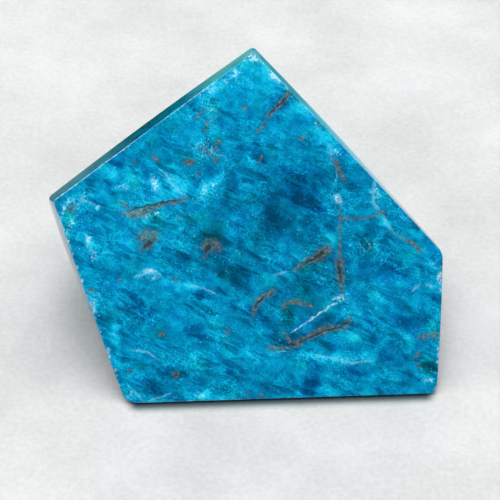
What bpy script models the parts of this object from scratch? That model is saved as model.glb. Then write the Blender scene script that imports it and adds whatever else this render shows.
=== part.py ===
"""Blue apatite: one natural stone, sawn and polished as a slab that stands on its cut base.

The stone leans back. Its front is one flat, five-sided polished face, and its side walls
swell a little behind the front edge and draw in again towards a smaller flat back.
Everything is worked out in the frame of the front face:

    x       across the face, to the right
    height  along the face, up from its bottom edge
    depth   into the stone, square to the face

The stone is a loft through sections parallel to the front face. The base is level, so the
bottom side of each section lies at the height where that section meets the ground.

Metres, +Z up. The front face looks along -Y, leaning back, and its bottom edge runs along X.
The origin is on the ground, under the middle of the stone's bounding box.
"""

from math import radians

import bmesh
import bpy
import numpy as np

MM = 0.001
NAME = "apatite_stone"

# Driving dimensions, in millimetres and degrees
LEAN = 33.0              # front face, back from upright
THICKNESS = 36.0         # front face to back face
BELLY_DEPTH = 12.0       # the section where the walls stand out furthest
FRONT_EDGE = 0.5         # radius of the polished edge round the front face
BACK_EDGE = 1.6          # radius of the softer edge round the back face

# Corners of the three driving sections, each (x, height). The two base corners give x alone.
CORNER_NAMES = ("base_left", "base_right", "right", "apex", "left")
FRONT = {"base_left": -29.7, "base_right": 42.7, "right": (44.7, 33.3), "apex": (2.0, 80.7),
         "left": (-44.8, 48.0)}
BELLY = {"base_left": -32.4, "base_right": 43.7, "right": (45.0, 33.6), "apex": (2.4, 81.7),
         "left": (-46.8, 47.6)}
BACK = {"base_left": -34.0, "base_right": 40.5, "right": (42.0, 32.5), "apex": (1.5, 77.0),
        "left": (-43.0, 45.5)}

# Radius of each corner in the three sections, in the order of CORNER_NAMES
FRONT_RADII = (3.7, 2.0, 3.8, 0.7, 0.9)
BELLY_RADII = (4.5, 3.0, 4.5, 1.0, 1.4)
BACK_RADII = (6.0, 5.0, 6.0, 3.5, 4.0)

# How far the middle of each side bows outwards: base, right, upper right, upper left, left
FRONT_BOWS = (0.0, 0.2, 0.15, 0.0, 0.15)
BELLY_BOWS = (0.0, 0.3, 0.4, 0.3, 0.8)
BACK_BOWS = (0.0, 0.6, 0.9, 0.9, 0.9)

# How finely the loft is divided
ARC_STEPS = 6            # along the arc of each corner
SIDE_STEPS = 4           # along each side
EDGE_STEPS = 4           # across the rounded edges of the front and back faces
WALL_STEPS = 7           # through the wall between those edges

# Colour of the polished stone, linear, and how glossy it is
STONE_COLOUR = (0.004, 0.27, 0.50, 1.0)
STONE_ROUGHNESS = 0.15


def clear_scene():
    """Remove whatever the scene holds."""
    for obj in list(bpy.data.objects):
        bpy.data.objects.remove(obj, do_unlink=True)


def through_sections(front, belly, back, depth):
    """Value at a depth on the parabola through its values at the three driving sections."""
    front, belly, back = (np.asarray(value, float) for value in (front, belly, back))
    at_belly = (belly - front) / BELLY_DEPTH
    at_back = (back - front) / THICKNESS
    curvature = (at_back - at_belly) / (THICKNESS - BELLY_DEPTH)
    slope = at_belly - curvature * BELLY_DEPTH
    return front + slope * depth + curvature * depth ** 2


def section_corners(section, depth):
    """Corners of a driving section as (x, height), with its base corners on the ground."""
    ground = depth * np.tan(radians(LEAN))
    corners = []
    for name in CORNER_NAMES:
        place = section[name]
        corners.append(place if isinstance(place, tuple) else (place, ground))
    return np.array(corners)


def corners_at(depth):
    """Sharp corners of the section at a depth."""
    return through_sections(
        section_corners(FRONT, 0.0),
        section_corners(BELLY, BELLY_DEPTH),
        section_corners(BACK, THICKNESS),
        depth,
    )


def outline(depth, inset):
    """Rounded outline of the section at a depth, moved inwards by an inset.

    Each corner is an arc that touches both of its sides. Each side between two arcs is a
    shallow parabola, which stands out by its bow in the middle. Points run anticlockwise.
    """
    corners = corners_at(depth)
    radii = through_sections(FRONT_RADII, BELLY_RADII, BACK_RADII, depth)
    bows = through_sections(FRONT_BOWS, BELLY_BOWS, BACK_BOWS, depth)
    count = len(corners)
    along = np.roll(corners, -1, axis=0) - corners
    along /= np.linalg.norm(along, axis=1)[:, None]
    outward = np.stack([along[:, 1], -along[:, 0]], axis=1)

    arcs = []
    for i in range(count):
        before = outward[i - 1]
        after = outward[i]
        centre = corners[i] - radii[i] * (before + after) / (1.0 + before @ after)
        turn = np.arccos(before @ after)
        step = np.linspace(0.0, 1.0, ARC_STEPS + 1)[:, None]
        normal = (np.sin((1.0 - step) * turn) * before + np.sin(step * turn) * after) / np.sin(turn)
        arcs.append(centre + (radii[i] - inset) * normal)

    points = []
    for i in range(count):
        start = arcs[i][-1]
        end = arcs[(i + 1) % count][0]
        step = np.linspace(0.0, 1.0, SIDE_STEPS + 1)[1:-1, None]
        side = start + step * (end - start) + bows[i] * 4.0 * step * (1.0 - step) * outward[i]
        points.extend([arcs[i], side])
    return np.concatenate(points)


def stations():
    """Depth and inset of every ring of the loft, from the front face to the back face.

    At both faces the wall turns over in a quarter of a circle of the edge's radius.
    """
    turn = np.linspace(0.0, np.pi / 2.0, EDGE_STEPS + 1)
    front = [(FRONT_EDGE * (1.0 - np.cos(a)), FRONT_EDGE * (1.0 - np.sin(a))) for a in turn]
    wall = np.linspace(FRONT_EDGE, THICKNESS - BACK_EDGE, WALL_STEPS + 1)[1:-1]
    back = [(THICKNESS - BACK_EDGE * (1.0 - np.sin(a)), BACK_EDGE * (1.0 - np.cos(a))) for a in turn]
    return front + [(depth, 0.0) for depth in wall] + back


def to_world(points, depth):
    """Place points of a section in the world: x, height and depth to metres, leaning back."""
    lean = radians(LEAN)
    x, height = points[:, 0], points[:, 1]
    y = height * np.sin(lean) + depth * np.cos(lean)
    z = height * np.cos(lean) - depth * np.sin(lean)
    return np.stack([x, y, z], axis=1) * MM


def build_stone():
    """Loft the rings, close both faces, and bring the origin under the middle of the box."""
    rings = [to_world(outline(depth, inset), depth) for depth, inset in stations()]
    every_point = np.concatenate(rings)
    low, high = every_point.min(axis=0), every_point.max(axis=0)
    origin = np.array([(low[0] + high[0]) / 2.0, (low[1] + high[1]) / 2.0, low[2]])

    mesh = bmesh.new()
    loops = [[mesh.verts.new(point - origin) for point in ring] for ring in rings]
    count = len(loops[0])
    for near, far in zip(loops, loops[1:]):
        for i in range(count):
            j = (i + 1) % count
            mesh.faces.new((near[i], far[i], far[j], near[j]))
    mesh.faces.new(loops[0])
    mesh.faces.new(reversed(loops[-1]))
    bmesh.ops.recalc_face_normals(mesh, faces=mesh.faces)

    data = bpy.data.meshes.new(NAME)
    mesh.to_mesh(data)
    mesh.free()
    data.shade_smooth()
    data.set_sharp_from_angle(angle=radians(35.0))
    return bpy.data.objects.new(NAME, data)


def polished_apatite():
    """Polished blue stone."""
    material = bpy.data.materials.new("polished_apatite")
    material.use_nodes = True
    shader = material.node_tree.nodes["Principled BSDF"]
    shader.inputs["Base Color"].default_value = STONE_COLOUR
    shader.inputs["Roughness"].default_value = STONE_ROUGHNESS
    shader.inputs["Metallic"].default_value = 0.0
    return material


def main():
    clear_scene()
    parts = bpy.data.collections.new("blue_apatite")
    bpy.context.scene.collection.children.link(parts)
    stone = build_stone()
    stone.data.materials.append(polished_apatite())
    parts.objects.link(stone)


main()
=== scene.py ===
"""Looks of the blue apatite: its polished surface, the coloured pattern in the stone, and the light.

The stone is one surface, worked out from the same sections as its solid. Its pattern is solid:
it runs through the stone, so the front, the walls and the back are cuts through one body.
Places on and in the stone are given in the frame of the front face, in millimetres:

    x       across the face, to the right
    height  along the face, up from its bottom edge
    depth   into the stone, square to the face
"""

from math import cos, radians, sin, tan

import bpy
import numpy as np
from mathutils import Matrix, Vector


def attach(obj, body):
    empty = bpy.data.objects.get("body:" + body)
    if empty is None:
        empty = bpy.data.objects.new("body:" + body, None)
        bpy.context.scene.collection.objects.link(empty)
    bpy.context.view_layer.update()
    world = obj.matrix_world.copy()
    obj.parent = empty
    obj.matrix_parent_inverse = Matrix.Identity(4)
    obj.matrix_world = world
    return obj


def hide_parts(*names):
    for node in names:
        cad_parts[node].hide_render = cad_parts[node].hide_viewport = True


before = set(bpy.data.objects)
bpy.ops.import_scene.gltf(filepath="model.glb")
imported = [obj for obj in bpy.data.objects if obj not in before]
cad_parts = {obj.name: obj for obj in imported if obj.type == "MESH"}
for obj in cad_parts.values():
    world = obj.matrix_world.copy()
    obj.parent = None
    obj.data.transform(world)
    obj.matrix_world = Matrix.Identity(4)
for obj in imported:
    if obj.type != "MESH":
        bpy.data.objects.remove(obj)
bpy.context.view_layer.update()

MM = 0.001
NODE = "apatite_stone"
PIECE = "polished_apatite_stone"
FINISH = "polished_apatite"

# The stone's form, in millimetres and degrees
LEAN = 33.0              # front face, back from upright
THICKNESS = 36.0         # front face to back face
BELLY_DEPTH = 12.0       # the section where the walls stand out furthest
FRONT_EDGE = 0.2         # radius of the crisp edge round the front face
BASE_EDGE = 0.62         # the same along the ground, where it is worn rounder
BACK_EDGE = 1.6          # radius of the softer edge round the back face

# Corners (x, height) of the three driving sections: base left, base right, right, apex, left.
# The base corners lie on the ground, so only their x is given. The apex of the front is 0.1 mm
# lower than the solid's, because its crisper edge would stand out of the solid's box.
FRONT = (-29.7, 42.7, (44.7, 33.3), (2.0, 80.6), (-44.8, 48.0))
BELLY = (-32.4, 43.7, (45.0, 33.6), (2.4, 81.7), (-46.8, 47.6))
BACK = (-34.0, 40.5, (42.0, 32.5), (1.5, 77.0), (-43.0, 45.5))
FRONT_RADII = (3.7, 2.0, 3.8, 0.7, 0.9)
BELLY_RADII = (4.5, 3.0, 4.5, 1.0, 1.4)
BACK_RADII = (6.0, 5.0, 6.0, 3.5, 4.0)

# How far the middle of each side bows out: base, right, upper right, upper left, left
FRONT_BOWS = (0.0, 0.2, 0.15, 0.0, 0.15)
BELLY_BOWS = (0.0, 0.3, 0.4, 0.3, 0.8)
BACK_BOWS = (0.0, 0.6, 0.9, 0.9, 0.9)

# How finely the surface is divided
ARC_STEPS = 14
SIDE_STEPS = (70, 50, 120, 110, 180)
FACE_RINGS = 44
EDGE_RINGS = 8
WALL_RINGS = 40
BACK_RINGS = 26

# The surface lies this far inside the driving sections, which keeps it within the solid's box
SKIN = 0.03

# Larger chips out of the front edge: place on the edge (x, height), radius, bite.
# They bite in from outside, away from the middle of the front face.
FACE_MIDDLE = (0.0, 38.0)
CHIP_DEPTH = 0.1
CHIPS = [
    (-36.6, 23.0, 1.5, 0.32),
    (-33.2, 13.2, 0.6, 0.10),
    (-31.6, 8.4, 0.5, 0.08),
    (44.1, 27.6, 1.1, 0.20),
    (43.2, 9.8, 0.5, 0.09),
    (42.4, 1.7, 0.8, 0.14),
]
# Runs of small nicks along the front edge: first and last place, how many, radius, bite
NICKS = [
    ((-44.2, 46.3), (-38.6, 29.2), 30, 0.45, 0.10),
    ((-38.2, 28.0), (-30.6, 4.0), 14, 0.40, 0.07),
    ((-43.6, 48.9), (-26.0, 60.9), 26, 0.35, 0.07),
    ((9.0, 73.1), (23.5, 57.0), 18, 0.40, 0.08),
    ((43.9, 31.0), (42.9, 6.0), 18, 0.40, 0.08),
]


def through_sections(front, belly, back, depth):
    """Values at depths on the parabola through their values at the three driving sections."""
    front, belly, back = (np.asarray(value, float) for value in (front, belly, back))
    at_belly = (belly - front) / BELLY_DEPTH
    at_back = (back - front) / THICKNESS
    curvature = (at_back - at_belly) / (THICKNESS - BELLY_DEPTH)
    slope = at_belly - curvature * BELLY_DEPTH
    return front + slope * depth + curvature * depth ** 2


def corners_at(depth):
    """Sharp corners of the section at a depth, with the base corners on the ground."""
    sections = []
    for section, at in ((FRONT, 0.0), (BELLY, BELLY_DEPTH), (BACK, THICKNESS)):
        ground = at * tan(radians(LEAN))
        places = [place if isinstance(place, tuple) else (place, ground) for place in section]
        sections.append(places)
    return through_sections(*sections, depth)


def outline(depth, insets):
    """Rounded outline of the section at a depth, with each side moved inwards by its inset.

    Each corner is an arc that touches both of its sides. Each side between two arcs is a
    shallow parabola, which stands out by its bow in the middle. Points run anticlockwise.
    """
    corners = corners_at(depth)
    radii = through_sections(FRONT_RADII, BELLY_RADII, BACK_RADII, depth)
    bows = through_sections(FRONT_BOWS, BELLY_BOWS, BACK_BOWS, depth)
    along = np.roll(corners, -1, axis=0) - corners
    along /= np.linalg.norm(along, axis=1)[:, None]
    outward = np.stack([along[:, 1], -along[:, 0]], axis=1)

    arcs = []
    for i in range(len(corners)):
        before, after = outward[i - 1], outward[i]
        centre = corners[i] - radii[i] * (before + after) / (1.0 + before @ after)
        turn = np.arccos(before @ after)
        step = np.linspace(0.0, 1.0, ARC_STEPS + 1)[:, None]
        normal = (np.sin((1.0 - step) * turn) * before + np.sin(step * turn) * after) / np.sin(turn)
        inset = insets[i - 1] * (1.0 - step) + insets[i] * step
        arcs.append(centre + (radii[i] - inset) * normal)

    points = []
    for i, steps in enumerate(SIDE_STEPS):
        start, end = arcs[i][-1], arcs[(i + 1) % len(arcs)][0]
        step = np.linspace(0.0, 1.0, steps + 1)[1:-1, None]
        side = start + step * (end - start) + bows[i] * 4.0 * step * (1.0 - step) * outward[i]
        points.extend([arcs[i], side])
    return np.concatenate(points)


def rounding(depth, radius):
    """How far a rounded edge of a radius lies inside its wall, at a depth below its face."""
    left = max(radius - depth, 0.0)
    return radius - np.sqrt(radius ** 2 - left ** 2)


def stone_rings():
    """Rings of the surface, from the middle of the front face to the middle of the back face.

    Each face is its rim drawn in towards its middle. At its edge the wall turns over in a
    quarter of a circle, and between the edges the rings follow the sections.
    """
    turn = np.linspace(0.0, np.pi / 2.0, EDGE_RINGS + 1)
    front_edge = BASE_EDGE * (1.0 - np.cos(turn))
    back_edge = THICKNESS - BACK_EDGE * (1.0 - np.sin(turn))
    wall = np.linspace(BASE_EDGE, THICKNESS - BACK_EDGE, WALL_RINGS + 1)[1:-1]
    radii = (BASE_EDGE,) + (FRONT_EDGE,) * 4
    rings = []
    for depth in np.concatenate([front_edge, wall, back_edge]):
        behind = rounding(THICKNESS - depth, BACK_EDGE)
        insets = [SKIN + behind + rounding(depth, radius) for radius in radii]
        places = outline(depth, insets)
        rings.append(np.column_stack([places, np.full(len(places), depth)]))

    def drawn_in(rim, count):
        """The rim scaled towards its middle, with rings closer together near the rim."""
        share = 1.0 - (1.0 - np.arange(1, count + 1) / (count + 1.0)) ** 1.6
        middle = rim.mean(axis=0)
        return [middle + (rim - middle) * s for s in share]

    front = drawn_in(rings[0], FACE_RINGS)
    back = drawn_in(rings[-1], BACK_RINGS)[::-1]
    return np.array(front + rings + back)


def edge_bites():
    """Balls that bite into the front edge: the chips, and nicks scattered along their runs."""
    rng = np.random.default_rng(7)
    bites = list(CHIPS)
    for first, last, count, radius, bite in NICKS:
        share = rng.random(count)[:, None]
        places = np.array(first) * (1.0 - share) + np.array(last) * share
        sizes = 0.3 + rng.random(count) ** 2
        bites += [(x, height, radius * size, bite * size) for (x, height), size in zip(places, sizes)]
    return bites


def chip_edges(points):
    """Bite the chips out of the front edge, and tell how far each point was pushed in.

    A chip is a ball that bites into the edge. A point inside the ball moves straight out from
    its centre to its surface, which leaves a hollow like a small shell.
    """
    pushed = np.zeros(points.shape[:-1])
    for x, height, radius, bite in edge_bites():
        out = np.array([x, height]) - FACE_MIDDLE
        out /= np.linalg.norm(out)
        towards = np.array([out[0], out[1], -1.0]) / np.sqrt(2.0)
        centre = np.array([x, height, CHIP_DEPTH]) + towards * (radius - bite)
        from_centre = points - centre
        distance = np.linalg.norm(from_centre, axis=-1)
        inside = distance < radius
        moved = centre + from_centre * (radius / np.maximum(distance, 1e-6))[..., None]
        pushed = np.where(inside, np.maximum(pushed, radius - distance), pushed)
        points = np.where(inside[..., None], moved, points)
    return points, pushed


def to_world(points):
    """Points from the frame of the front face to the world, in metres."""
    lean = radians(LEAN)
    x, height, depth = points[..., 0], points[..., 1], points[..., 2]
    y = height * sin(lean) + depth * cos(lean)
    z = height * cos(lean) - depth * sin(lean)
    return np.stack([x, y, z], axis=-1) * MM


# The origin is under the middle of the stone's box
RINGS = stone_rings()
FLAT = to_world(RINGS).reshape(-1, 3)
ORIGIN = np.append((FLAT.min(axis=0) + FLAT.max(axis=0))[:2] / 2.0, 0.0)


def build_stone():
    """The stone's surface: rings joined into strips, with a fan over the middle of each face."""
    points, pushed = chip_edges(RINGS)
    rings, count = points.shape[:2]
    front_middle = points[0].mean(axis=0)
    back_middle = points[-1].mean(axis=0)
    places = np.concatenate([points.reshape(-1, 3), [front_middle], [back_middle]])
    world = to_world(places) - ORIGIN

    index = np.arange(rings * count).reshape(rings, count)
    near, far = index[:-1], index[1:]
    quads = np.stack([near, far, np.roll(far, -1, axis=1), np.roll(near, -1, axis=1)], axis=-1)
    ring = index[0]
    front_fan = np.stack([np.full(count, rings * count), ring, np.roll(ring, -1)], axis=-1)
    ring = index[-1]
    back_fan = np.stack([np.full(count, rings * count + 1), np.roll(ring, -1), ring], axis=-1)
    faces = quads.reshape(-1, 4).tolist() + front_fan.tolist() + back_fan.tolist()

    mesh = bpy.data.meshes.new(PIECE)
    mesh.from_pydata(world.tolist(), [], faces)
    mesh.validate()
    mesh.update()
    mesh.shade_smooth()
    chipped = mesh.attributes.new("chipped", "FLOAT", "POINT")
    chipped.data.foreach_set("value", np.append(pushed.ravel(), [0.0, 0.0]).astype(np.float32))
    stone = bpy.data.objects.new(PIECE, mesh)
    bpy.context.scene.collection.objects.link(stone)
    return stone


# Markings in the stone. Each is a lens: x, height, angle, half length, half width, strength.
# Angles are in degrees, anticlockwise from the x axis of the face.

# Brown and grey veins as paths along the face: points (x, height) and half width at each
BROWN_VEINS = [
    [(-27.6, 44.7, 0.8), (-25.0, 44.5, 0.75), (-22.5, 45.8, 0.45), (-19.0, 46.7, 0.4), (-14.8, 47.4, 0.4)],
    [(9.9, 71.3, 0.35), (8.8, 69.9, 0.45), (6.9, 67.9, 0.45), (5.0, 66.2, 0.35)],
    [(4.4, 65.0, 0.22), (3.6, 63.7, 0.22), (2.4, 62.5, 0.35)],
    [(20.1, 55.2, 0.3), (21.0, 53.0, 0.5), (22.0, 51.0, 0.3)],
    [(20.9, 44.0, 0.2), (21.0, 41.6, 0.22), (20.8, 38.0, 0.14), (20.8, 35.2, 0.2), (20.6, 32.6, 0.5),
     (20.6, 30.2, 0.85), (20.8, 27.8, 0.5), (21.0, 25.0, 0.22)],
    [(20.9, 42.2, 0.28), (23.4, 42.0, 0.25), (26.5, 41.9, 0.14), (29.0, 42.3, 0.2)],
    [(33.6, 38.2, 0.15), (36.0, 36.8, 0.2), (38.4, 35.0, 0.4), (39.4, 33.8, 0.22)],
    [(17.4, 34.6, 1.0), (15.8, 33.4, 0.85), (13.5, 32.4, 0.5), (11.5, 31.3, 0.4), (10.2, 30.4, 0.25)],
    [(4.8, 25.3, 0.4), (3.0, 24.5, 0.6), (1.5, 23.1, 0.55), (0.4, 20.6, 0.28)],
    [(7.3, 21.8, 0.35), (8.6, 23.0, 0.42), (10.2, 23.0, 0.42), (12.0, 22.5, 0.4), (13.7, 22.0, 0.32)],
    [(22.4, 18.2, 0.42), (21.7, 17.0, 0.42), (19.5, 16.5, 0.4), (17.6, 16.6, 0.7), (15.4, 15.7, 0.75),
     (13.4, 14.9, 0.5), (11.4, 13.9, 0.42), (9.6, 12.8, 0.85)],
    [(3.8, 12.4, 0.3), (5.5, 12.1, 0.4), (7.6, 12.2, 0.28)],
    [(7.4, 15.8, 0.15), (8.0, 14.6, 0.35), (8.6, 13.4, 0.25)],
    [(39.0, 13.5, 0.3), (40.8, 14.1, 0.5), (43.0, 14.0, 0.4)],
]

# Brown spots: x, height, angle, half length, half width
BROWN_SPOTS = [
    (-23.4, 39.2, 0.0, 2.1, 1.3),
    (-23.5, 37.3, 38.0, 1.8, 0.85),
    (-9.2, 36.6, 15.0, 1.8, 1.3),
    (-7.3, 36.0, 30.0, 1.0, 0.8),
    (-10.4, 34.3, 70.0, 0.9, 0.35),
    (-10.5, 67.0, 40.0, 1.3, 0.28),
    (-9.1, 64.6, 80.0, 0.5, 0.3),
    (-9.7, 63.1, 20.0, 0.5, 0.3),
    (-6.6, 60.4, 10.0, 0.7, 0.4),
    (-7.2, 58.9, 75.0, 0.9, 0.3),
    (-7.3, 56.2, 80.0, 0.8, 0.4),
    (-9.4, 58.2, -35.0, 1.6, 0.35),
    (-13.3, 56.0, 0.0, 1.2, 0.6),
    (-11.3, 53.5, 45.0, 0.6, 0.28),
    (-21.3, 57.3, -60.0, 1.2, 0.32),
    (-26.0, 56.1, 20.0, 0.5, 0.35),
    (-28.8, 46.8, -30.0, 1.0, 0.35),
    (-0.3, 68.2, 0.0, 0.65, 0.35),
    (2.9, 56.3, 70.0, 0.9, 0.32),
    (12.5, 60.7, 20.0, 0.6, 0.45),
    (-15.9, 43.5, 50.0, 0.5, 0.25),
    (30.1, 42.9, 10.0, 1.0, 0.6),
    (-17.5, 29.3, -5.0, 0.8, 0.28),
    (-30.1, 29.4, 60.0, 0.3, 0.28),
    (-40.6, 46.0, 30.0, 0.9, 0.65),
    (-37.0, 27.1, 20.0, 0.7, 0.33),
    (-18.0, 6.6, 50.0, 0.9, 0.65),
    (-28.6, 8.0, 40.0, 0.5, 0.33),
    (-1.5, 1.7, 0.0, 0.45, 0.38),
    (1.7, 1.3, 0.0, 0.5, 0.28),
    (-5.7, 16.5, 88.0, 0.8, 0.28),
    (-20.8, 16.3, 30.0, 0.8, 0.45),
    (38.3, 9.6, 45.0, 0.9, 0.33),
    (38.5, 7.2, 100.0, 0.6, 0.28),
]

# Almost black threads and kernels inside the brown
DARK_CORES = [
    [(-27.3, 45.4, 0.16), (-22.0, 46.5, 0.16), (-17.0, 47.4, 0.16), (-15.4, 47.4, 0.1)],
    [(9.2, 70.2, 0.16), (7.0, 68.2, 0.18), (5.4, 66.8, 0.14)],
    [(22.3, 17.8, 0.16), (19.5, 16.5, 0.16), (16.5, 16.0, 0.16), (13.0, 14.4, 0.2), (11.0, 13.6, 0.2)],
    [(17.0, 34.2, 0.35), (15.0, 33.0, 0.25), (12.8, 31.8, 0.14)],
    [(20.5, 31.5, 0.2), (20.6, 29.4, 0.35), (20.9, 27.0, 0.14)],
    [(-24.3, 36.8, 0.4), (-22.4, 38.1, 0.35)],
    [(-10.3, 35.4, 0.35), (-8.8, 36.7, 0.42)],
    [(2.9, 24.4, 0.16), (1.0, 22.4, 0.16)],
    [(8.6, 12.9, 0.2), (9.9, 12.9, 0.2)],
    [(-18.4, 6.3, 0.2), (-17.8, 7.0, 0.2)],
]

# White threads as paths: points (x, height) and half width at each
WHITE_THREADS = [
    [(19.4, 22.3, 0.22), (18.4, 21.8, 0.16), (17.5, 21.2, 0.22), (15.0, 19.5, 0.18), (12.5, 18.0, 0.16),
     (10.5, 16.7, 0.12), (9.3, 15.9, 0.1)],
    [(20.4, 47.0, 0.55), (20.8, 46.0, 0.45)],
    [(43.4, 27.2, 0.25), (43.8, 28.6, 0.35)],
    [(19.4, 23.4, 0.3), (21.2, 23.9, 0.3)],
    [(-23.8, 31.2, 0.35), (-22.4, 30.9, 0.3)],
    [(-37.0, 39.0, 0.35), (-37.1, 38.3, 0.35)],
]

# Faint pale threads, written the same way
PALE_THREADS = [
    [(19.1, 58.4, 0.4), (19.4, 55.6, 0.4)],
    [(20.2, 54.0, 0.16), (20.3, 50.5, 0.16)],
    [(29.3, 50.6, 0.22), (28.4, 48.0, 0.35), (28.8, 45.4, 0.4), (29.6, 44.0, 0.3)],
    [(30.9, 42.2, 0.3), (31.8, 40.4, 0.35), (32.8, 38.8, 0.3), (34.6, 37.5, 0.16), (36.0, 36.8, 0.25)],
    [(14.2, 10.4, 0.25), (17.1, 9.6, 0.3), (20.1, 8.9, 0.35), (22.5, 8.2, 0.35), (24.8, 8.4, 0.25),
     (27.5, 8.6, 0.2)],
    [(-14.6, 27.9, 0.2), (-11.1, 26.8, 0.2), (-8.3, 25.4, 0.2)],
    [(-28.1, 12.9, 0.25), (-24.6, 12.4, 0.2), (-22.0, 10.6, 0.2)],
    [(-26.2, 30.0, 0.2), (-23.2, 31.3, 0.45), (-21.2, 30.1, 0.3)],
    [(-22.9, 29.2, 0.3), (-21.4, 29.6, 0.3)],
    [(-18.8, 53.4, 0.25), (-17.2, 50.8, 0.4), (-15.6, 49.0, 0.3)],
    [(-39.8, 46.4, 0.16), (-38.6, 47.6, 0.2), (-36.8, 47.6, 0.2), (-35.4, 47.0, 0.16)],
    [(-24.3, 0.9, 0.2), (-21.8, 1.5, 0.2), (-19.4, 2.3, 0.16)],
    [(-29.0, 2.0, 0.2), (-27.9, 3.4, 0.25), (-26.0, 1.0, 0.2)],
    [(6.0, 29.6, 0.2), (8.2, 29.9, 0.3)],
    [(37.2, 24.8, 0.2), (39.0, 25.8, 0.33)],
    [(40.8, 25.8, 0.28), (42.3, 25.4, 0.28)],
    [(13.7, 67.9, 0.16), (14.6, 67.1, 0.3)],
    [(-36.6, 24.0, 0.25), (-36.1, 22.2, 0.45)],
    [(-37.0, 37.0, 0.25), (-35.6, 35.2, 0.33)],
    [(5.2, 11.3, 0.16), (8.2, 11.3, 0.2)],
    [(-5.6, 57.2, 0.16), (-8.0, 57.8, 0.16), (-8.1, 59.4, 0.16)],
]

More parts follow.
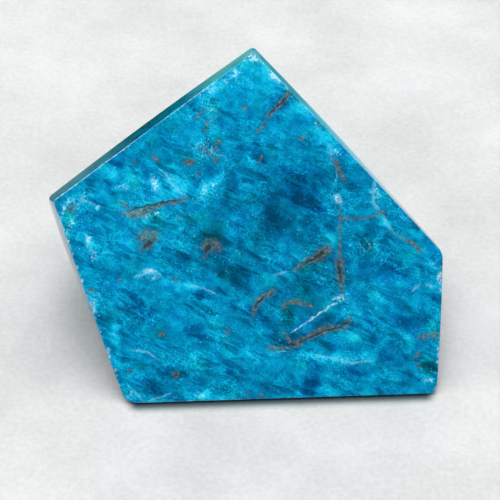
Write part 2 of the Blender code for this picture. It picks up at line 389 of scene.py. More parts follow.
# Cloudy patches, darker (below 0) or lighter than the stone. CLOUDS, FROST and RIM_WEAR_AND_HIGHLIGHT hold at most
# 160 entries together: beyond that the renderer has no room for the shader, and draws it black.
CLOUDS = [
    (10.0, 36.0, 70.0, 25.0, 14.0, -0.13),
    (5.2, 44.0, 70.0, 5.4, 3.4, -0.29),
    (14.0, 46.0, -28.0, 4.6, 1.6, -0.36),
    (11.5, 51.5, -10.0, 7.0, 3.4, -0.20),
    (2.4, 57.8, -65.0, 3.0, 1.5, -0.26),
    (-4.3, 50.5, 84.0, 5.5, 1.8, -0.22),
    (-8.8, 37.8, -40.0, 4.6, 3.4, -0.28),
    (-3.8, 30.6, -14.0, 5.0, 1.8, -0.42),
    (-3.2, 28.0, -30.0, 2.4, 1.2, -0.30),
    (-15.5, 34.0, 30.0, 3.2, 2.8, -0.18),
    (-13.0, 42.0, -35.0, 4.0, 1.8, -0.14),
    (16.4, 33.6, 30.0, 3.0, 1.8, -0.30),
    (13.2, 28.0, 60.0, 5.0, 3.4, -0.22),
    (21.0, 29.5, 90.0, 4.0, 2.4, -0.16),
    (8.4, 20.2, 80.0, 3.8, 1.7, -0.28),
    (16.8, 18.6, 30.0, 2.6, 2.0, -0.38),
    (20.5, 16.8, 0.0, 2.4, 1.6, -0.20),
    (8.5, 14.2, 5.0, 5.0, 1.5, -0.26),
    (3.0, 18.8, -46.0, 5.2, 1.4, -0.22),
    (-26.5, 22.0, -14.0, 4.4, 2.3, -0.28),
    (-11.0, 25.2, -24.0, 3.4, 0.9, -0.24),
    (-19.5, 15.2, -15.0, 2.2, 1.3, -0.20),
    (-13.5, 16.5, -20.0, 3.0, 1.5, -0.18),
    (-22.8, 4.4, -38.0, 3.4, 1.7, -0.38),
    (-18.0, 7.0, -4.0, 4.4, 1.4, -0.30),
    (2.4, 3.2, -36.0, 3.6, 1.2, -0.24),
    (13.4, 3.6, 85.0, 3.2, 2.2, -0.30),
    (24.0, 6.2, -24.0, 2.8, 1.1, -0.22),
    (41.0, 6.4, -20.0, 2.4, 1.9, -0.34),
    (32.4, 9.8, 30.0, 3.8, 2.8, -0.20),
    (37.6, 18.2, 10.0, 3.8, 2.8, -0.22),
    (33.6, 29.6, -20.0, 4.4, 2.6, -0.16),
    (27.4, 36.6, 80.0, 4.0, 2.2, -0.22),
    (22.6, 52.8, -70.0, 3.8, 1.6, -0.20),
    (16.5, 56.0, -40.0, 3.6, 1.8, -0.16),
    (7.6, 68.8, 50.0, 3.2, 1.7, -0.24),
    (-28.2, 56.0, 10.0, 2.4, 1.4, -0.20),
    (1.8, 77.5, 0.0, 4.4, 3.4, 0.26),
    (6.0, 73.6, -48.0, 4.0, 2.2, 0.20),
    (-5.6, 74.2, 35.0, 5.0, 2.4, 0.28),
    (-1.3, 71.0, 0.0, 6.0, 2.4, 0.14),
    (13.2, 67.2, -48.0, 3.6, 1.6, 0.24),
    (17.4, 61.4, -48.0, 4.2, 2.0, 0.24),
    (-16.2, 51.0, -55.0, 4.2, 2.6, 0.34),
    (-21.2, 50.4, -70.0, 3.2, 1.5, 0.26),
    (-8.2, 51.2, 42.0, 4.2, 1.5, 0.36),
    (-29.0, 52.6, 0.0, 4.0, 3.0, 0.16),
    (-36.8, 38.2, -58.0, 2.6, 1.5, 0.20),
    (-29.0, 38.6, 80.0, 3.6, 2.0, 0.18),
    (-23.2, 31.2, 10.0, 2.8, 1.5, 0.20),
    (-16.0, 27.8, -12.0, 6.0, 1.3, 0.20),
    (-32.0, 17.4, 88.0, 3.6, 1.6, 0.28),
    (-11.2, 2.0, 0.0, 2.4, 1.4, 0.32),
    (-1.0, 11.4, -8.0, 5.4, 3.0, 0.18),
    (20.5, 9.6, -4.0, 9.5, 1.9, 0.24),
    (23.2, 14.0, 0.0, 3.0, 1.6, 0.22),
    (29.2, 22.6, -30.0, 2.6, 1.5, 0.18),
    (31.4, 41.2, -42.0, 3.2, 1.3, 0.24),
    (18.4, 38.0, -62.0, 3.0, 1.3, 0.24),
    (8.6, 34.8, 24.0, 4.4, 2.4, 0.20),
    (3.2, 28.0, 20.0, 3.6, 2.4, 0.18),
    (9.0, 29.6, -40.0, 4.6, 2.2, 0.14),
    (30.4, 38.3, -60.0, 4.0, 2.4, -0.14),
    (2.3, 47.8, 66.0, 3.0, 2.0, -0.18),
    (-6.3, 44.4, 12.0, 5.4, 2.2, -0.15),
    (28.0, 30.5, 0.0, 4.6, 3.0, -0.16),
    (-12.0, 64.0, 60.0, 6.0, 5.0, 0.08),
    (-38.0, 48.0, 30.0, 6.0, 3.0, 0.12),
    (17.5, 2.0, 0.0, 3.6, 1.4, 0.14),
    (-30.1, 46.7, -72.0, 2.6, 1.8, 0.20),
    (-31.7, 53.6, 35.0, 2.8, 1.8, 0.20),
    (-27.1, 18.6, -56.0, 2.2, 1.7, -0.18),
    (19.8, 27.8, -64.0, 3.6, 2.8, -0.16),
    (5.3, 20.4, 72.0, 3.0, 1.8, 0.17),
    (-9.0, 33.1, 20.0, 4.4, 3.2, -0.15),
    (18.4, 56.7, -14.0, 3.2, 1.6, 0.16),
    (-27.4, 36.9, 89.0, 3.0, 1.6, 0.16),
    (15.8, 16.4, -20.0, 3.6, 1.6, -0.20),
    (7.3, 30.5, 0.0, 3.2, 1.8, 0.18),
    (1.0, 73.1, -29.0, 4.6, 2.0, 0.16),
    (2.4, 37.5, -23.0, 2.8, 1.7, -0.17),
    (-30.9, 13.2, -86.0, 2.5, 1.3, 0.20),
    (-6.5, 3.6, -41.0, 2.6, 1.6, -0.17),
    (-19.6, 5.7, 10.0, 6.0, 2.6, -0.14),
    (35.6, 22.4, 13.0, 4.4, 1.8, 0.16),
    (5.3, 9.6, -23.0, 4.6, 2.1, 0.16),
    (-8.0, 53.8, 65.0, 4.6, 2.8, -0.14),
    (-38.2, 35.4, -62.0, 4.2, 1.0, 0.15),
    (-38.0, 48.3, 14.0, 3.6, 1.5, -0.14),
    (38.1, 36.2, -51.0, 7.0, 1.8, 0.14),
    (-1.6, 45.0, 32.0, 5.0, 1.8, -0.13),
    (-6.7, 34.1, -20.0, 4.6, 1.5, -0.17),
    (-25.9, 4.9, 50.0, 3.6, 1.6, -0.17),
    (-9.2, 58.8, -76.0, 2.8, 1.6, -0.17),
    (33.1, 3.0, -12.0, 4.0, 1.7, -0.16),
    (24.2, 10.5, 41.0, 9.0, 2.8, -0.14),
    (-26.7, 16.7, 90.0, 5.0, 1.9, -0.15),
    (1.8, 77.2, -45.0, 2.3, 1.5, -0.24),
    (11.7, 62.4, 0.0, 4.2, 2.3, 0.15),
    (-26.8, 43.4, -10.0, 5.0, 2.2, 0.22),
    (24.9, 13.7, -4.0, 3.2, 2.8, 0.16),
    (-21.0, 47.2, 30.0, 4.4, 1.6, 0.16),
    (14.1, 55.5, -24.0, 2.8, 1.4, -0.17),
    (9.4, 35.1, 0.0, 2.1, 1.6, -0.16),
    (26.0, 34.7, 38.0, 4.2, 2.1, -0.17),
    (6.6, 40.0, 22.0, 5.0, 2.2, -0.15),
    (16.0, 35.8, 39.0, 6.0, 2.0, 0.14),
    (13.5, 41.9, 68.0, 4.0, 1.9, -0.18),
    (29.1, 17.1, -6.0, 3.0, 1.6, -0.18),
    (-0.9, 53.2, -25.0, 2.8, 1.4, 0.18),
    (-40.7, 43.1, -67.0, 3.4, 1.1, 0.20),
]

# Patches that lean to green (above 0) or to violet blue (below 0), written like the clouds
HUES = [
    (13.5, 28.0, 60.0, 7.0, 4.4, 0.7),
    (8.8, 20.2, 80.0, 4.0, 2.6, 0.8),
    (-10.5, 40.5, -20.0, 6.0, 3.4, 1.0),
    (-4.5, 30.0, -25.0, 6.0, 2.6, 0.6),
    (27.5, 37.5, 80.0, 4.4, 3.0, 0.5),
    (39.5, 6.5, -20.0, 4.0, 3.0, 0.9),
    (-22.0, 43.0, 0.0, 9.0, 3.0, 0.4),
    (4.0, 36.0, 20.0, 6.0, 3.4, 0.4),
    (-41.6, 43.0, 72.0, 8.0, 2.0, 0.6),
    (14.0, 46.5, -28.0, 6.5, 3.0, -0.9),
    (11.5, 52.5, -15.0, 7.0, 3.4, -0.6),
    (2.5, 58.0, -60.0, 3.6, 2.0, -0.6),
    (-26.0, 22.5, -20.0, 6.0, 2.8, -0.7),
    (-11.5, 25.5, -24.0, 3.8, 1.4, -0.8),
    (-13.5, 17.0, -30.0, 5.0, 3.0, -0.6),
    (-23.5, 5.0, -35.0, 4.5, 2.4, -0.7),
    (13.4, 4.0, 80.0, 4.5, 3.4, -1.0),
    (24.5, 6.0, -25.0, 4.5, 2.0, -0.5),
    (30.0, 29.0, -25.0, 8.0, 4.0, -0.7),
    (36.0, 18.0, -10.0, 6.0, 3.6, -0.6),
    (31.5, 10.5, 30.0, 4.0, 3.0, -0.7),
    (23.0, 53.0, -60.0, 4.4, 2.4, -0.5),
    (-28.0, 56.5, 0.0, 4.4, 2.6, -0.5),
    (-35.0, 51.0, 20.0, 5.0, 2.4, -0.4),
    (-32.0, 38.5, 80.0, 8.0, 4.4, -0.6),
    (0.5, 20.0, -46.0, 4.4, 2.4, -0.6),
    (-37.0, 43.0, 0.0, 3.0, 2.4, -0.5),
    (7.6, 67.6, 50.0, 3.0, 1.8, -0.6),
    (-7.0, 53.0, 80.0, 6.0, 2.4, -0.5),
    (0.0, 66.0, 0.0, 8.0, 5.0, -0.4),
]

# Frosted patches, where the stone is full of fine white flecks, written like the clouds
FROST = [
    (1.9, 80.3, 0.0, 2.8, 2.2, 2.3),
    (0.0, 78.7, 38.0, 2.4, 0.9, 1.0),
    (7.0, 74.9, -60.0, 1.9, 1.3, 1.8),
    (5.0, 77.0, -48.0, 2.2, 0.9, 1.3),
    (-3.4, 75.8, 37.0, 2.8, 1.2, 1.7),
    (9.4, 72.5, -48.0, 1.8, 0.9, 1.3),
    (-8.5, 72.2, 37.0, 4.4, 1.8, 0.7),
    (-8.0, 67.0, 80.0, 5.0, 2.6, 0.5),
    (-21.3, 50.8, -76.0, 2.6, 1.0, 1.1),
    (-17.2, 51.0, -56.0, 4.4, 1.2, 1.1),
    (-8.8, 50.2, 42.0, 4.8, 1.3, 0.9),
    (-10.8, 58.8, -20.0, 4.4, 3.0, 0.5),
    (-21.5, 44.0, -10.0, 3.4, 0.8, 0.8),
    (-25.6, 44.2, 0.0, 4.6, 1.2, 0.9),
    (-37.0, 38.6, 90.0, 2.2, 1.2, 0.8),
    (-41.4, 41.0, 72.0, 7.0, 0.9, 0.8),
    (-40.0, 48.0, 20.0, 5.0, 2.0, 0.6),
    (-33.4, 55.6, 37.0, 2.4, 0.8, 0.9),
    (-28.8, 50.8, -10.0, 3.2, 0.9, 0.6),
    (-34.6, 45.6, 60.0, 1.6, 0.8, 0.9),
    (-35.8, 35.4, -40.0, 1.5, 0.8, 0.9),
    (-42.8, 43.6, 73.0, 7.0, 0.5, 1.3),
    (-23.4, 30.6, 5.0, 3.2, 1.2, 0.8),
    (-16.0, 28.6, -12.0, 6.0, 0.8, 0.5),
    (-36.2, 24.5, 70.0, 4.0, 0.8, 0.6),
    (-32.0, 17.4, 88.0, 3.0, 1.4, 0.4),
    (-11.6, 2.0, 0.0, 2.0, 1.4, 0.9),
    (-28.6, 2.0, -30.0, 1.6, 0.6, 0.6),
    (12.4, 68.4, -48.0, 2.4, 1.0, 0.7),
    (15.8, 63.4, -48.0, 2.2, 1.2, 0.7),
    (20.8, 58.2, -48.0, 2.2, 0.9, 0.9),
    (29.0, 47.8, -70.0, 4.0, 1.2, 0.6),
    (34.5, 44.0, -48.0, 6.0, 0.9, 0.5),
    (27.5, 36.0, 10.0, 4.4, 2.0, 0.5),
    (42.6, 30.5, 0.0, 1.6, 2.0, 0.6),
    (20.4, 23.4, 0.0, 2.2, 0.9, 0.8),
    (21.5, 16.0, -20.0, 3.4, 1.6, 0.4),
    (20.0, 9.2, -6.0, 9.0, 1.2, 0.5),
    (40.6, 3.2, 0.0, 2.4, 1.0, 0.9),
]

# Patches sprinkled with tiny bright crystals, written like the clouds
SPARKS = [
    (17.0, 30.0, 80.0, 6.0, 2.6, 1.0),
    (24.0, 37.0, 0.0, 8.0, 4.0, 0.7),
    (11.0, 38.2, 0.0, 6.0, 1.8, 0.5),
    (-9.0, 50.0, 30.0, 8.0, 4.0, 0.7),
    (-10.0, 60.0, 80.0, 9.0, 5.0, 0.6),
    (-40.0, 40.0, 72.0, 9.0, 2.6, 0.9),
    (-30.0, 46.5, 0.0, 8.0, 3.0, 0.5),
    (10.0, 70.0, -48.0, 9.0, 3.6, 0.7),
    (-4.0, 73.0, 37.0, 9.0, 4.0, 0.7),
    (-35.0, 22.0, 72.0, 9.0, 2.0, 0.5),
    (22.0, 14.5, -20.0, 5.0, 2.0, 0.5),
]

# Where the rounded front edge is worn white and carries a painted highlight, written like the clouds
RIM_WEAR_AND_HIGHLIGHT = [
    (-32.0, 57.0, 37.5, 15.0, 2.0, 0.7),
    (-12.0, 71.5, 37.5, 14.0, 2.0, 0.6),
    (-42.5, 44.0, 72.0, 8.0, 2.0, 0.9),
    (-41.4, 50.4, 37.0, 5.0, 2.0, 1.2),
    (-36.0, 24.0, 72.0, 14.0, 2.0, 0.35),
    (20.0, 60.0, -48.0, 26.0, 2.0, 0.45),
    (5.5, 76.8, -48.0, 7.0, 2.0, 0.9),
    (44.0, 28.0, 90.0, 5.0, 2.0, 0.6),
    (-14.0, 0.0, 0.0, 18.0, 2.0, 0.3),
]


def linear(red, green, blue):
    """A colour given in display values from 0 to 255, as linear values."""
    parts = np.array([red, green, blue]) / 255.0
    curve = np.where(parts <= 0.04045, parts / 12.92, ((parts + 0.055) / 1.055) ** 2.4)
    return (*curve, 1.0)


# How deep the markings reach into the stone, in millimetres
VEIN_DEPTH = 6.0
CLOUD_DEPTH = 9.0

# How much larger the patches are drawn than they look, because they fade towards their skin
CLOUD_SWELL = 1.3
FROST_SWELL = 1.4


class Pattern:
    """Short names for the shader nodes of one material."""

    def __init__(self, name):
        self.material = bpy.data.materials.new(name)
        self.material.use_nodes = True
        self.tree = self.material.node_tree
        self.shader = self.tree.nodes["Principled BSDF"]

    def node(self, kind, inputs=(), **settings):
        """A node with its settings, and with numbers or links at its inputs."""
        made = self.tree.nodes.new(kind)
        for key, value in settings.items():
            setattr(made, key, value)
        for key, value in dict(inputs).items():
            if isinstance(value, bpy.types.NodeSocket):
                self.tree.links.new(value, made.inputs[key])
            elif value is not None:
                made.inputs[key].default_value = value
        return made

    def maths(self, operation, *values, clamp=False):
        """One step of arithmetic on numbers."""
        made = self.node("ShaderNodeMath", enumerate(values), operation=operation, use_clamp=clamp)
        return made.outputs[0]

    def vectors(self, operation, *values, scale=None):
        """One step of arithmetic on vectors."""
        inputs = dict(enumerate(values))
        if scale is not None:
            inputs["Scale"] = scale
        made = self.node("ShaderNodeVectorMath", inputs, operation=operation)
        return made.outputs["Value" if operation == "LENGTH" else "Vector"]

    def place(self, point, location=(0, 0, 0), rotation=(0, 0, 0), scale=(1, 1, 1)):
        """The point scaled, turned and moved. Rotation is in degrees."""
        turned = tuple(radians(angle) for angle in rotation)
        made = self.node("ShaderNodeMapping", {"Vector": point, "Location": location,
                         "Rotation": turned, "Scale": scale})
        return made.outputs[0]

    def stretch(self, point, angle, lengths):
        """The point turned back by an angle and shrunk, so that a texture on it runs at that angle."""
        made = self.node("ShaderNodeMapping", {"Vector": point, "Rotation": (0.0, 0.0, radians(angle)),
                         "Scale": lengths}, vector_type="TEXTURE")
        return made.outputs[0]

    def noise(self, point, size, detail, roughness, output="Fac"):
        """Cloudy noise whose coarsest lumps are about size millimetres."""
        made = self.node("ShaderNodeTexNoise", {"Vector": point, "Scale": 1.0 / size, "Detail": detail,
                         "Roughness": roughness})
        return made.outputs[output]

    def cells(self, point, size, feature="F1"):
        """The outputs of angular cells about size millimetres across."""
        made = self.node("ShaderNodeTexVoronoi", {"Vector": point, "Scale": 1.0 / size}, feature=feature)
        return made.outputs

    def channel(self, colour, index):
        """One of the three numbers in a colour."""
        return self.node("ShaderNodeSeparateColor", {"Color": colour}).outputs[index]

    def layered(self, value, *layers):
        """The value with layers of (number, share) added."""
        for number, share in layers:
            value = self.maths("MULTIPLY_ADD", number, share, value)
        return value

    def spread(self, value, low, high, out_low=0.0, out_high=1.0, smooth=True):
        """The value taken from one range to another, and held at its ends."""
        made = self.node("ShaderNodeMapRange", {"Value": value, "From Min": low, "From Max": high,
                         "To Min": out_low, "To Max": out_high},
                         interpolation_type="SMOOTHSTEP" if smooth else "LINEAR", clamp=True)
        return made.outputs["Result"]

    def blend(self, amount, first, second, kind="MIX"):
        """Two colours mixed."""
        made = self.node("ShaderNodeMix", {0: amount, 6: first, 7: second}, data_type="RGBA",
                         blend_type=kind)
        return made.outputs[2]

    def ramp(self, value, stops):
        """Colours along a value, from stops of (place, colour)."""
        made = self.node("ShaderNodeValToRGB", {"Fac": value})
        elements = made.color_ramp.elements
        for place, colour in stops[1:-1]:
            elements.new(place)
        for element, (place, colour) in zip(elements, stops):
            element.position = place
            element.color = colour
        return made.outputs["Color"]

    def gather(self, point, patches, inner, operation):
        """Patches brought together: each is a lens whose strength fades from inner to its skin."""
        group = lens_group(operation, faded=True)
        total = 0.0
        for *lens, strength in patches:
            total = self.node("ShaderNodeGroup", {"Total": total, "Point": point, "Inner": inner,
                              "Strength": strength, **shape_of(*lens, CLOUD_DEPTH)},
                              node_tree=group).outputs[0]
        return total

    def nearest(self, point, lenses):
        """The smallest of a point's distances from several lenses."""
        group = lens_group("MINIMUM", faded=False)
        smallest = 99.0
        for lens in lenses:
            smallest = self.node("ShaderNodeGroup", {"Total": smallest, "Point": point,
                                 **shape_of(*lens, VEIN_DEPTH)}, node_tree=group).outputs[0]
        return smallest


def shape_of(x, height, angle, length, width, depth):
    """The inputs that shape one lens: its middle, how it is turned, and one over its half sizes."""
    middle = (x, height, 0.0)
    scale = (1.0 / length, 1.0 / width, 1.0 / depth)
    shift = tuple(-place * factor for place, factor in zip(middle, scale))
    return {"Middle": middle, "Angle": -radians(angle), "Scale": scale, "Shift": shift}


def lens_group(operation, faded):
    """A node group that brings one lens into a running total, made once for each kind.

    It turns the point about the lens, scales it and takes its length, which is 0 at the middle
    of the lens and 1 at its skin. A faded lens turns that into a strength within the lens.
    """
    name = "lens_" + operation.lower()
    if name in bpy.data.node_groups:
        return bpy.data.node_groups[name]
    tree = bpy.data.node_groups.new(name, "ShaderNodeTree")
    numbers = ["Total", "Angle"] + (["Inner", "Strength"] if faded else [])
    for kind, labels in (("Float", numbers), ("Vector", ["Point", "Middle", "Scale", "Shift"])):
        for label in labels:
            tree.interface.new_socket(label, in_out="INPUT", socket_type="NodeSocket" + kind)
    tree.interface.new_socket("Total", in_out="OUTPUT", socket_type="NodeSocketFloat")

    given = tree.nodes.new("NodeGroupInput").outputs
    turned = tree.nodes.new("ShaderNodeVectorRotate")
    turned.rotation_type = "Z_AXIS"
    placed = tree.nodes.new("ShaderNodeVectorMath")
    placed.operation = "MULTIPLY_ADD"
    length = tree.nodes.new("ShaderNodeVectorMath")
    length.operation = "LENGTH"
    total = tree.nodes.new("ShaderNodeMath")
    total.operation = operation
    result = tree.nodes.new("NodeGroupOutput").inputs
    links = [
        (given["Point"], turned.inputs["Vector"]),
        (given["Middle"], turned.inputs["Center"]),
        (given["Angle"], turned.inputs["Angle"]),
        (turned.outputs[0], placed.inputs[0]),
        (given["Scale"], placed.inputs[1]),
        (given["Shift"], placed.inputs[2]),
        (placed.outputs["Vector"], length.inputs[0]),
        (given["Total"], total.inputs[0]),
        (total.outputs[0], result[0]),
    ]
    if faded:
        fade = tree.nodes.new("ShaderNodeMapRange")
        fade.interpolation_type = "SMOOTHSTEP"
        fade.inputs["From Min"].default_value = 1.0
        links += [
            (length.outputs["Value"], fade.inputs["Value"]),
            (given["Inner"], fade.inputs["From Max"]),
            (given["Strength"], fade.inputs["To Max"]),
            (fade.outputs["Result"], total.inputs[1]),
        ]
    else:
        links.append((length.outputs["Value"], total.inputs[1]))
    for start, end in links:
        tree.links.new(start, end)
    return tree


def lenses_along(paths):
    """Lenses (x, height, angle, half length, half width) along paths of (x, height, half width)."""
    lenses = []
    for path in paths:
        for (x0, h0, w0), (x1, h1, w1) in zip(path, path[1:]):
            run, rise = x1 - x0, h1 - h0
            width = (w0 + w1) / 2.0
            lenses.append(((x0 + x1) / 2.0, (h0 + h1) / 2.0, np.degrees(np.arctan2(rise, run)),
                           np.hypot(run, rise) / 2.0 + 1.2 * width, width * 1.25))
    return lenses


# Blues of the clear stone, from its darkest tone to its lightest
TONES = [
    (0.00, linear(0, 62, 93)),
    (0.07, linear(0, 71, 104)),
    (0.17, linear(0, 83, 120)),
    (0.34, linear(0, 101, 142)),
    (0.48, linear(0, 122, 165)),
    (0.61, linear(0, 143, 185)),
    (0.76, linear(2, 166, 203)),
    (1.00, linear(30, 200, 233)),
]
# What brings the layers of the tone, added up, to the mean tone of the stone
TONE_SHIFT = -0.209

# Colours that multiply the stone's: where it leans to green or violet, and the painted shade on its walls
# and back
GREENER = linear(255, 255, 228)
MORE_VIOLET = linear(255, 232, 255)
WALL_PAINTED_SHADE = linear(196, 188, 188)

# Colours of the markings
CLEAR_FLECK = linear(30, 190, 226)
FROSTED_FLECK = linear(176, 226, 242)
CRYSTAL = linear(120, 224, 246)
PALE_THREAD = linear(120, 206, 230)
WHITE_THREAD = linear(176, 216, 230)
VEIN_RIM = linear(8, 84, 106)
VEIN_EARTHS = [
    (0.36, linear(28, 54, 52)), (0.45, linear(64, 82, 76)), (0.55, linear(96, 106, 98)),
    (0.68, linear(156, 162, 158)),
]
VEIN_CORE = linear(30, 42, 46)
# The pale rim: wear on the front edge, and a painted highlight along its rounding
RIM_WEAR_AND_HIGHLIGHT_COLOUR = linear(170, 216, 230)

# The finish: a clean polish, what worn and earthy places have instead, and the mineral's index
POLISHED, DULLED = 0.08, 0.5
REFRACTION = 1.63


def swollen(patches, factor):
    """The same patches, larger by a factor."""
    return [(x, height, angle, length * factor, width * factor, strength)
            for x, height, angle, length, width, strength in patches]


def apatite():
    """Mottled blue stone with fibres, frosted flecks and brown veins."""
    p = Pattern(FINISH)
    lean = radians(LEAN)
    coordinates = p.node("ShaderNodeTexCoord").outputs["Object"]
    ox, oy = ORIGIN[0] / MM, ORIGIN[1] / MM
    point = p.place(coordinates, location=(ox, oy * sin(lean), -oy * cos(lean)),
                    rotation=(LEAN - 90.0, 0.0, 0.0), scale=(1.0 / MM,) * 3)

    def shaken(start, size, reach, detail=2.0):
        """A point pushed about by noise, up to about reach millimetres."""
        push = p.vectors("SUBTRACT", p.noise(point, size, detail, 0.55, output="Color"), (0.5, 0.5, 0.5))
        return p.vectors("ADD", start, p.vectors("SCALE", push, scale=reach * 2.0))

    drifted = shaken(point, 9.0, 1.6)
    frayed = p.vectors("ADD", drifted, p.vectors("SUBTRACT", shaken(point, 1.8, 0.5, detail=5.0), point))
    ragged = shaken(point, 1.6, 0.7, detail=5.0)
    torn = shaken(drifted, 2.2, 1.2, detail=6.0)

    # Clouds of lighter and darker stone
    tone = p.gather(torn, swollen(CLOUDS, CLOUD_SWELL), 0.2, "ADD")

    # Blotches, angular grains, dark leaves, and fibres that run down to the right
    blotches = p.noise(torn, 3.2, 6.0, 0.6)
    slanted = p.stretch(torn, -28.0, (2.6, 1.0, 1.4))
    grains = p.channel(p.cells(slanted, 1.3)["Color"], 0)
    blades = p.stretch(frayed, -26.0, (4.0, 1.0, 1.8))
    leaves = p.spread(p.channel(p.cells(blades, 1.7)["Color"], 1), 0.42, 0.12)
    leaf_rims = p.cells(blades, 1.7, "DISTANCE_TO_EDGE")["Distance"]
    leaves = p.maths("MULTIPLY", leaves, p.spread(leaf_rims, 0.02, 0.20))
    straight = p.stretch(drifted, -28.0, (6.0, 1.0, 1.6))
    fibres = p.noise(straight, 0.6, 5.0, 0.7)
    where = p.spread(p.noise(point, 13.0, 1.0, 0.5), 0.42, 0.60, 0.25, 1.3)
    fibres = p.maths("MULTIPLY", p.maths("SUBTRACT", fibres, 0.5), where)
    grain = p.noise(point, 0.5, 2.0, 0.8)
    tone = p.layered(tone, (blotches, 0.9), (grains, 0.15), (leaves, -0.22), (fibres, 0.65), (grain, 0.34))
    tone = p.maths("ADD", tone, TONE_SHIFT)

    # Fine bright threads: curls, crossing cracks and hairs along the grain, thick where frosted
    frost = p.gather(torn, swollen(FROST, FROST_SWELL), 0.0, "MAXIMUM")
    patchy = p.noise(p.stretch(frayed, -50.0, (2.2, 1.0, 1.0)), 1.5, 4.0, 0.65)
    frost = p.maths("MULTIPLY", frost, p.spread(patchy, 0.38, 0.60, 0.30, 1.15))

    def threads(start, size, width):
        """Thin lines where noise passes through its middle value."""
        off = p.maths("ABSOLUTE", p.maths("SUBTRACT", p.noise(start, size, 3.0, 0.6), 0.5))
        return p.spread(off, width, 0.0)

    cracks = p.cells(torn, 2.3, "DISTANCE_TO_EDGE")["Distance"]
    net = p.maths("MAXIMUM", p.spread(cracks, 0.05, 0.0), threads(torn, 2.4, 0.022))
    net = p.maths("MAXIMUM", net, threads(ragged, 1.3, 0.018))
    hairs = threads(p.stretch(frayed, -27.0, (5.0, 1.0, 1.6)), 0.9, 0.020)
    lively = p.spread(p.noise(point, 6.0, 2.0, 0.5), 0.44, 0.64, 0.10, 0.60)
    busy = p.maths("ADD", frost, lively, clamp=True)
    netted = p.maths("MULTIPLY", net, busy)
    tone = p.layered(tone, (netted, 0.52), (p.maths("MULTIPLY", hairs, where), 0.26))
    sparkle = p.noise(point, 0.34, 1.0, 0.6)
    sparkle = p.maths("SUBTRACT", p.spread(sparkle, 0.60, 0.80), p.spread(sparkle, 0.42, 0.24, 0.0, 0.35))
    sparkle = p.maths("MULTIPLY", sparkle, p.maths("ADD", busy, 0.40))
    tone = p.maths("MULTIPLY_ADD", sparkle, 0.72, tone)
    colour = p.ramp(tone, TONES)

    # Parts of the stone lean to green, parts to violet blue
    hue = p.gather(torn, swollen(HUES, CLOUD_SWELL), 0.2, "ADD")
    hue = p.maths("MULTIPLY_ADD", p.noise(torn, 5.0, 3.0, 0.5), 4.6, p.maths("ADD", hue, -2.3))
    colour = p.blend(p.spread(hue, 0.1, 1.1), colour, p.blend(1.0, colour, GREENER, "MULTIPLY"))
    colour = p.blend(p.spread(hue, -0.1, -1.1), colour, p.blend(1.0, colour, MORE_VIOLET, "MULTIPLY"))

    # Flecks, cyan in the clear stone and white in the frosted patches
    flecks = p.noise(point, 0.66, 4.0, 0.85)
    frosted = p.spread(p.layered(flecks, (netted, 0.13), (frost, 0.16)), 0.61, 0.80)
    white = p.blend(p.spread(frost, 0.1, 0.9), CLEAR_FLECK, FROSTED_FLECK)
    colour = p.blend(p.maths("MULTIPLY", frosted, 0.85), colour, white)

    # Tiny bright crystals
    cells = p.cells(point, 0.8)
    chosen = p.channel(cells["Color"], 0)
    sparks = p.maths("MAXIMUM", p.gather(torn, SPARKS, 0.0, "MAXIMUM"), p.maths("MULTIPLY", frost, 0.6))
    chosen = p.spread(p.maths("MULTIPLY_ADD", sparks, 0.32, chosen), 0.90, 1.03)
    crystals = p.maths("MULTIPLY", p.spread(cells["Distance"], 0.24, 0.08), chosen)
    colour = p.blend(p.maths("MULTIPLY", crystals, 0.75), colour, CRYSTAL)

    # Faint and white threads, both broken up
    roughen = p.noise(point, 0.7, 4.0, 0.75)
    unevenness = p.maths("ADD", p.maths("MULTIPLY", roughen, 3.2), -1.6)
    broken = p.spread(flecks, 0.40, 0.58, 0.15, 0.95)
    pale = p.maths("ADD", p.nearest(ragged, lenses_along(PALE_THREADS)), unevenness)
    paleness = p.maths("MULTIPLY", p.spread(pale, 1.5, 0.3, 0.0, 0.58), broken)
    colour = p.blend(paleness, colour, PALE_THREAD)
    bright = p.maths("ADD", p.nearest(ragged, lenses_along(WHITE_THREADS)), unevenness)
    broken = p.spread(flecks, 0.42, 0.56, 0.1, 1.0)
    paleness = p.maths("MULTIPLY", p.spread(bright, 1.6, 0.4, 0.0, 0.9), broken)
    colour = p.blend(paleness, colour, WHITE_THREAD)

    # Brown veins and spots, in darker stone, with dark kernels
    brown = p.nearest(ragged, lenses_along(BROWN_VEINS) + BROWN_SPOTS)
    brown = p.maths("MULTIPLY_ADD", roughen, 3.0, p.maths("ADD", brown, -1.5))
    rim = p.spread(brown, 2.7, 1.3, 0.0, 0.24)
    colour = p.blend(rim, colour, VEIN_RIM)
    breakup = p.spread(p.noise(point, 1.4, 4.0, 0.7), 0.36, 0.54, 0.27, 0.80)
    brownness = p.maths("MULTIPLY", p.spread(brown, 1.6, 0.55), breakup)
    earth = p.ramp(p.noise(point, 0.9, 4.0, 0.8), VEIN_EARTHS)
    colour = p.blend(brownness, colour, earth)
    cores = p.nearest(ragged, lenses_along(DARK_CORES))
    cores = p.maths("MULTIPLY_ADD", roughen, 3.0, p.maths("ADD", cores, -1.5))
    colour = p.blend(p.spread(cores, 1.5, 0.6, 0.0, 0.8), colour, VEIN_CORE)

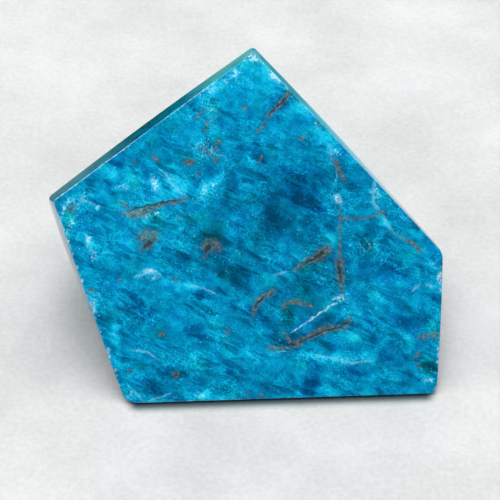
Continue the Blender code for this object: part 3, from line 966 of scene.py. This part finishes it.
    # Chipped and worn edges are pale and dull. The pale band along the rounded front edge is also a
    # painted highlight
    chipped = p.node("ShaderNodeAttribute", attribute_name="chipped").outputs["Fac"]
    chipped = p.spread(chipped, 0.01, 0.12, 0.0, 0.7)
    depth = p.maths("MULTIPLY", p.node("ShaderNodeSeparateXYZ", {"Vector": point}).outputs["Z"], -1.0)
    rounded = p.maths("MULTIPLY", p.spread(depth, 0.0, 0.04), p.spread(depth, 0.36, 0.16))
    worn_and_highlit = p.maths("MULTIPLY", rounded, p.gather(point, RIM_WEAR_AND_HIGHLIGHT, 0.4, "MAXIMUM"))
    dull = p.maths("MULTIPLY", p.maths("MAXIMUM", chipped, worn_and_highlit), p.spread(roughen, 0.40, 0.60, 0.1, 1.0))
    colour = p.blend(dull, colour, RIM_WEAR_AND_HIGHLIGHT_COLOUR)

    # Painted shade: the walls and the back are painted deeper in tone than the front face
    painted_wall_shade = p.spread(depth, 0.3, 0.8)
    colour = p.blend(painted_wall_shade, colour, p.blend(1.0, colour, WALL_PAINTED_SHADE, "MULTIPLY"))

    p.tree.links.new(colour, p.shader.inputs["Base Color"])
    dull = p.maths("MAXIMUM", dull, p.maths("MULTIPLY", brownness, 0.5))
    roughness = p.spread(dull, 0.0, 1.0, POLISHED, DULLED, smooth=False)
    p.tree.links.new(roughness, p.shader.inputs["Roughness"])
    p.shader.inputs["IOR"].default_value = REFRACTION
    return p.material


# The shade on the floor, in millimetres: how far behind the sharp front corner the rounded base
# edge begins, half the depth of the darkest strip, how much shorter than the edge the strip is
# at each end, and how far its shade reaches
NOSE = 0.6
STRIP_HALF_DEPTH = 4.0
STRIP_MARGIN = 3.0
SHADE_REACH = 3.8


def floor_material():
    """Plain pale stone floor with a fine grain, and shade gathered under the front edge.

    The shade falls off with the distance from the strip where the front edge stands.
    """
    p = Pattern("pale_floor")
    coordinates = p.node("ShaderNodeTexCoord").outputs["Object"]
    point = p.place(coordinates, scale=(1.0 / MM,) * 3)
    mottle = p.noise(point, 40.0, 5.0, 0.6)
    grain = p.noise(point, 1.2, 2.0, 0.7)
    both = p.maths("MULTIPLY_ADD", grain, 0.5, mottle)
    colour = p.ramp(both, [(0.55, linear(190, 190, 188)), (0.95, linear(211, 211, 209))])
    edge_left, edge_right = FRONT[0] - ORIGIN[0] / MM, FRONT[1] - ORIGIN[0] / MM
    middle = ((edge_left + edge_right) / 2.0, NOSE - ORIGIN[1] / MM + STRIP_HALF_DEPTH, 0.0)
    half = ((edge_right - edge_left) / 2.0 - STRIP_MARGIN, STRIP_HALF_DEPTH, 0.0)
    off = p.vectors("ABSOLUTE", p.vectors("SUBTRACT", point, middle))
    off = p.vectors("LENGTH", p.vectors("MAXIMUM", p.vectors("SUBTRACT", off, half), (0.0, 0.0, 0.0)))
    shade = p.ramp(p.maths("DIVIDE", off, SHADE_REACH), [
        (0.0, linear(40, 72, 84)), (0.16, linear(58, 86, 94)), (0.28, linear(88, 112, 116)),
        (0.38, linear(126, 140, 144)), (0.48, linear(164, 172, 174)), (0.60, linear(200, 206, 206)),
        (0.76, linear(234, 238, 238)), (1.0, (1.0, 1.0, 1.0, 1.0)),
    ])
    colour = p.blend(1.0, colour, shade, "MULTIPLY")
    p.tree.links.new(colour, p.shader.inputs["Base Color"])
    p.shader.inputs["Roughness"].default_value = 0.75
    return p.material


def build_floor():
    """A wide flat sheet under the stone."""
    half = 1.5
    mesh = bpy.data.meshes.new("floor")
    low = -0.25 * MM
    corners = [(-half, -half, low), (half, -half, low), (half, half, low), (-half, half, low)]
    mesh.from_pydata(corners, [], [(0, 1, 2, 3)])
    floor = bpy.data.objects.new("floor", mesh)
    bpy.context.scene.collection.objects.link(floor)
    mesh.materials.append(floor_material())


def look_at(obj, target):
    """Turn a lamp or camera, which looks along its own -Z, towards a point."""
    obj.rotation_euler = (Vector(target) - obj.location).to_track_quat("-Z", "Y").to_euler()


def softbox(name, location, target, size, power, mirrored=True):
    """A square soft light, which polished surfaces mirror unless it is told not to."""
    lamp = bpy.data.lights.new(name, "AREA")
    lamp.shape = "SQUARE"
    lamp.size = size
    lamp.energy = power
    box = bpy.data.objects.new(name, lamp)
    bpy.context.scene.collection.objects.link(box)
    box.location = location
    box.visible_glossy = mirrored
    look_at(box, target)


def reflected_card(name, left, right, slope, stops):
    """A flat card behind the stone that only shows in reflections.

    It lies on the floor from left to right. Its colour changes with x + slope * y, in
    millimetres, along stops of (value, colour).
    """
    mesh = bpy.data.meshes.new(name)
    near, far, low = 40.0 * MM, 600.0 * MM, 4.0 * MM
    mesh.from_pydata([(left * MM, near, low), (right * MM, near, low), (right * MM, far, low),
                      (left * MM, far, low)], [], [(0, 1, 2, 3)])
    card = bpy.data.objects.new(name, mesh)
    bpy.context.scene.collection.objects.link(card)
    p = Pattern(name)
    place = p.node("ShaderNodeSeparateXYZ", {"Vector": p.node("ShaderNodeTexCoord").outputs["Object"]})
    value = p.maths("MULTIPLY_ADD", place.outputs["Y"], slope, place.outputs["X"])
    first, last = stops[0][0], stops[-1][0]
    share = p.spread(value, first * MM, last * MM, smooth=False)
    colour = p.ramp(share, [((at - first) / (last - first), shade) for at, shade in stops])
    p.tree.links.new(colour, p.shader.inputs["Base Color"])
    p.shader.inputs["Roughness"].default_value = 1.0
    p.shader.inputs["Specular IOR Level"].default_value = 0.0
    mesh.materials.append(p.material)
    card.visible_camera = False
    card.visible_diffuse = False
    card.visible_shadow = False


# What the two upper walls mirror, as (value, colour) along each card
MIRRORED_LEFT = [
    (-24.0, linear(84, 118, 114)), (-12.0, linear(58, 112, 106)), (0.0, linear(12, 60, 52)),
    (12.0, linear(6, 62, 54)), (22.0, linear(4, 92, 102)), (38.0, linear(88, 164, 150)),
]
MIRRORED_RIGHT = [
    (-54.0, linear(63, 150, 155)), (-30.0, linear(100, 190, 205)), (-4.0, linear(170, 206, 214)),
    (19.0, linear(205, 214, 214)),
]


def light_scene():
    """Soft light from above, an even dim sky, and cards behind that the walls mirror."""
    world = bpy.data.worlds.new("studio")
    bpy.context.scene.world = world
    world.use_nodes = True
    world.node_tree.nodes["Background"].inputs["Color"].default_value = (0.94, 0.97, 1.0, 1.0)
    world.node_tree.nodes["Background"].inputs["Strength"].default_value = 0.85
    world.cycles_visibility.glossy = False
    middle = (0.0, 0.0, 0.03)
    softbox("key", (0.02, 0.22, 0.95), middle, 0.4, 3.0)
    softbox("rim", (-0.50, 0.10, 0.70), middle, 0.4, 1.1)
    softbox("front", (0.0, -0.55, 1.10), middle, 0.7, 5.1, mirrored=False)
    reflected_card("left_card", -300.0, 0.0, 0.43, MIRRORED_LEFT)
    reflected_card("right_card", 0.0, 200.0, -0.82, MIRRORED_RIGHT)


# The camera: where it stands round the stone, and what it looks at
CAMERA_AZIMUTH = -2.65
CAMERA_ELEVATION = 40.0
CAMERA_DISTANCE = 0.480
CAMERA_LENS = 150.0
CAMERA_AIM_HEIGHT = 35.34     # along the front face, in millimetres


def build_camera():
    """A camera at the photograph's angle, aimed at the middle of the front face."""
    aim = to_world(np.array([0.0, CAMERA_AIM_HEIGHT, 0.0])) - ORIGIN
    azimuth, elevation = radians(CAMERA_AZIMUTH), radians(CAMERA_ELEVATION)
    back = np.array([sin(azimuth) * cos(elevation), -cos(azimuth) * cos(elevation), sin(elevation)])
    data = bpy.data.cameras.new("camera")
    data.lens = CAMERA_LENS
    data.sensor_width = 36.0
    data.clip_start = 0.01
    camera = bpy.data.objects.new("camera", data)
    bpy.context.scene.collection.objects.link(camera)
    camera.location = aim + CAMERA_DISTANCE * back
    look_at(camera, aim)
    bpy.context.scene.camera = camera


def main():
    """Dress the stone, and set the floor, the light and the camera."""
    bpy.context.scene.view_settings.view_transform = "Standard"
    stone = build_stone()
    stone.data.materials.append(apatite())
    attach(stone, "root")
    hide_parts(NODE)
    build_floor()
    light_scene()
    build_camera()


main()
